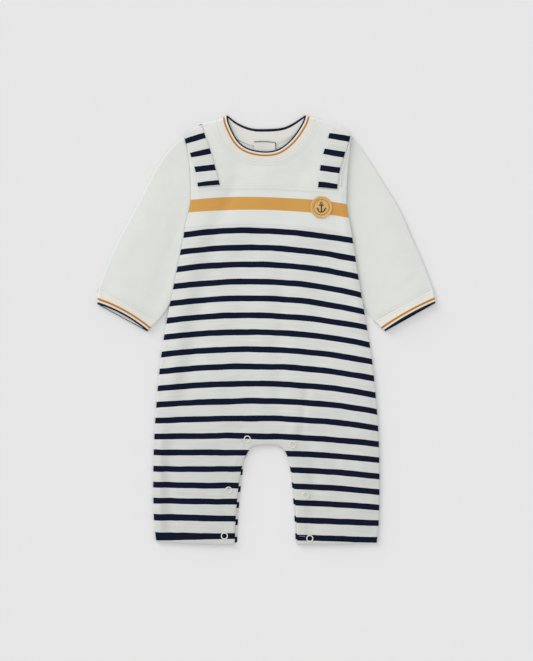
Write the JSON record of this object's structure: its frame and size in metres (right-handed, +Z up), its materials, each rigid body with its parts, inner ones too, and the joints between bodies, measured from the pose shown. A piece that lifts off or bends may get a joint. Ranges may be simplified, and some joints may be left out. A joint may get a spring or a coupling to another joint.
{
  "type": "baby romper",
  "caption": "Long-sleeved, long-legged baby romper in striped jersey, laid flat, with a rib neck, cuffs, sewn-on straps, a round chest patch and ring snaps along the inside legs.",
  "frame": {"origin": "under the middle of the garment's outline, on the surface that it lies on", "axes": "+Y towards the neck, +X towards the right of the picture, +Z up out of the front"},
  "size_m": [0.422, 0.5358, 0.007],
  "materials": {
    "white_jersey": "soft off-white cotton jersey",
    "striped_jersey": "off-white cotton jersey with navy stripes",
    "rib_knit": "cream one-by-one rib knit with ochre and navy tipping lines",
    "patch_cloth": "mustard twill with embroidery",
    "label_ribbon": "plain white woven ribbon",
    "snap_enamel": "pearly white enamel"
  },
  "bodies": {
    "root": {"front_yoke": "white_jersey", "chest_band": "white_jersey", "front_body": "striped_jersey", "back_yoke": "white_jersey", "back_body": "striped_jersey", "sleeve_left": "white_jersey", "sleeve_right": "white_jersey", "cuff_left": "rib_knit", "cuff_right": "rib_knit", "neck_rib": "rib_knit", "strap_left": "striped_jersey", "strap_right": "striped_jersey", "chest_patch": "patch_cloth", "neck_label": "label_ribbon", "snap_ring_1": "snap_enamel", "snap_ring_2": "snap_enamel", "snap_ring_3": "snap_enamel", "snap_ring_4": "snap_enamel", "snap_ring_5": "snap_enamel", "snap_ring_6": "snap_enamel"}
  },
  "joints": []
}
